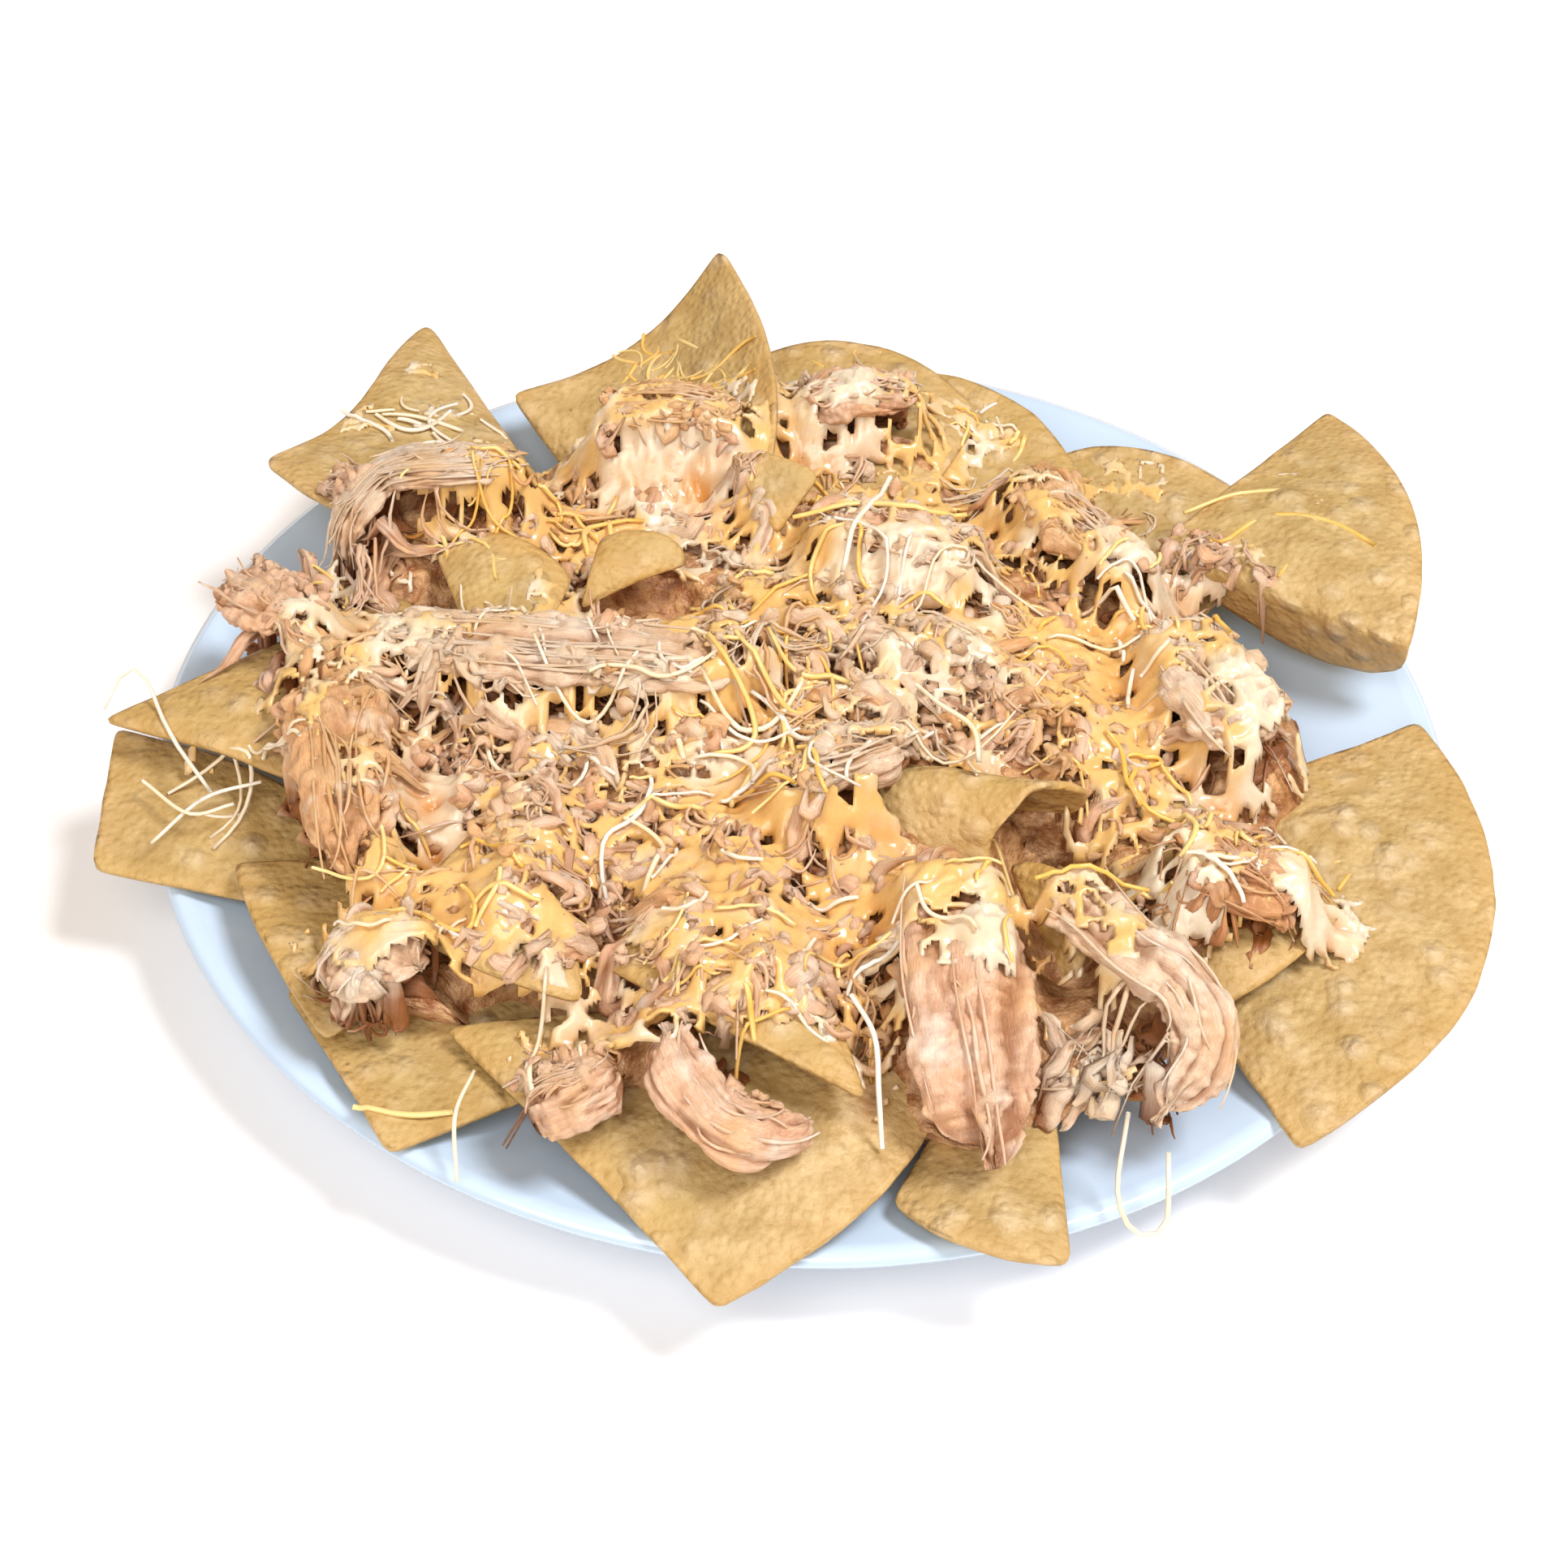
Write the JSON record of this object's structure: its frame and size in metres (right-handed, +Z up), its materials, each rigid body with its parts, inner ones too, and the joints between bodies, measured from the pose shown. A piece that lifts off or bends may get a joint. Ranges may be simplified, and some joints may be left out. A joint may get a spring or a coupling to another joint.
{
  "type": "plate of nachos",
  "caption": "Round shallow plate heaped with curved triangular tortilla chips, shredded chicken and melted shredded cheese, resting flat on its foot.",
  "frame": {"origin": "centre of the flat face under the plate's foot, on the surface that the plate stands on", "axes": "+Z up, -Y towards the viewer, +X to the viewer's right"},
  "size_m": [0.2577, 0.2593, 0.0579],
  "materials": {
    "plate_glaze": "smooth white glaze, glossy",
    "tortilla": "fried corn tortilla, pale yellow-tan, blistered, with a thin film of oil",
    "chicken": "shredded cooked chicken, pinkish beige, moist fibres",
    "chicken_and_cheese": "finely shredded chicken under melted orange and white cheese, glossy where it has melted"
  },
  "bodies": {
    "root": {"chip_back": "tortilla", "chip_back_left": "tortilla", "chip_back_right": "tortilla", "chip_back_tall": "tortilla", "chip_front": "tortilla", "chip_front_left": "tortilla", "chip_front_left_upper": "tortilla", "chip_front_right": "tortilla", "chip_front_upper": "tortilla", "chip_left_low": "tortilla", "chip_left_lower": "tortilla", "chip_left_point": "tortilla", "chip_middle_curl": "tortilla", "chip_middle_inner": "tortilla", "chip_middle_left": "tortilla", "chip_middle_rolled": "tortilla", "chip_middle_upright": "tortilla", "chip_right_back": "tortilla", "chip_right_big": "tortilla", "chip_right_fan": "tortilla", "chip_right_inner": "tortilla", "heap": "chicken_and_cheese", "plate": "plate_glaze", "shred_back": "chicken", "shred_back_left": "chicken", "shred_back_right": "chicken", "shred_far_left": "chicken", "shred_front_chunk": "chicken", "shred_front_hook": "chicken", "shred_front_left": "chicken", "shred_front_left_pile": "chicken", "shred_front_loop": "chicken", "shred_left": "chicken", "shred_long_pale": "chicken", "shred_middle": "chicken", "shred_middle_right": "chicken", "shred_right_brown": "chicken", "shred_right_melt": "chicken", "shred_right_upper": "chicken"}
  },
  "joints": []
}
